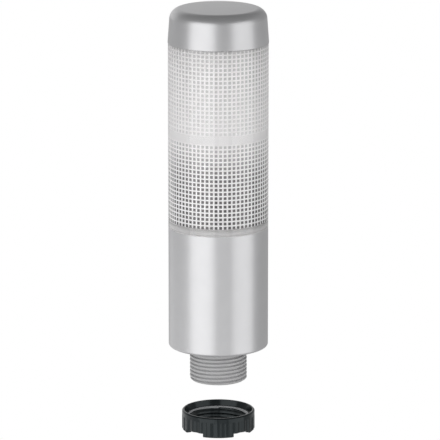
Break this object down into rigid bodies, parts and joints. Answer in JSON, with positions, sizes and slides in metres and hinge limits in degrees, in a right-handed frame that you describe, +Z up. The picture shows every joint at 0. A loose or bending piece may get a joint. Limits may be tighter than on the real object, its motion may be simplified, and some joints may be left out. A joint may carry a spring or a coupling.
{
  "type": "stack light",
  "caption": "Slim tower signal light: silver base on a hollow threaded stud, clear prismatic lens in two zones, silver cap, and a separate black castellated ring nut.",
  "frame": {"origin": "centre of the base's underside, in the plane that seats on the panel, on the axis of the hollow stud", "axes": "+Z runs up the tower from base to cap; -Z is the way the stud, the nut and the cable leave; -Y is the side that faces a viewer"},
  "size_m": [0.0384, 0.0382, 0.1645],
  "materials": {
    "silver_lacquer": "satin silver lacquer on moulded plastic",
    "grey_plastic": "mid-grey glass-filled plastic",
    "black_plastic": "black glass-filled plastic",
    "collar_plastic": "dark grey plastic",
    "clear_plastic": "clear polished plastic with a prismatic inner wall",
    "rubber": "black rubber",
    "green_board": "green solder mask on glass-fibre board",
    "white_board": "white solder mask on glass-fibre board",
    "terminal_plastic": "light grey plastic",
    "insulator_plastic": "black plastic",
    "plated_metal": "zinc-plated steel",
    "spring_bronze": "phosphor bronze strip",
    "led_resin": "clear resin over a pale yellow phosphor",
    "white_plastic": "white reflective plastic"
  },
  "bodies": {
    "base": {"base_housing": "silver_lacquer", "threaded_spigot": "grey_plastic", "spigot_screws": "plated_metal", "panel_gasket": "rubber", "terminal_board": "green_board", "board_screws": "plated_metal", "terminal_block": "terminal_plastic", "terminal_clamps": "plated_metal", "terminal_screws": "plated_metal", "contact_block": "insulator_plastic", "contact_springs": "spring_bronze"},
    "head": {"head_collar": "collar_plastic", "head_seal": "rubber", "contact_board": "green_board", "contact_board_screws": "plated_metal", "column_board": "white_board", "lower_leds": "led_resin", "upper_leds": "led_resin", "tier_divider": "white_plastic", "top_reflector": "white_plastic", "lens_tube": "clear_plastic", "cap": "silver_lacquer", "cap_seal": "rubber"},
    "nut": {"mounting_nut": "black_plastic"}
  },
  "joints": [
    {"name": "head_turn", "type": "hinge", "parent": "base", "child": "head", "pos_m": [0, 0, 0.047], "axis": [0, 0, 1], "range_deg": [0, 30]},
    {"name": "nut_travel", "type": "slide", "parent": "base", "child": "nut", "axis": [0, 0, 1], "range_m": [0, 0.0253]}
  ]
}
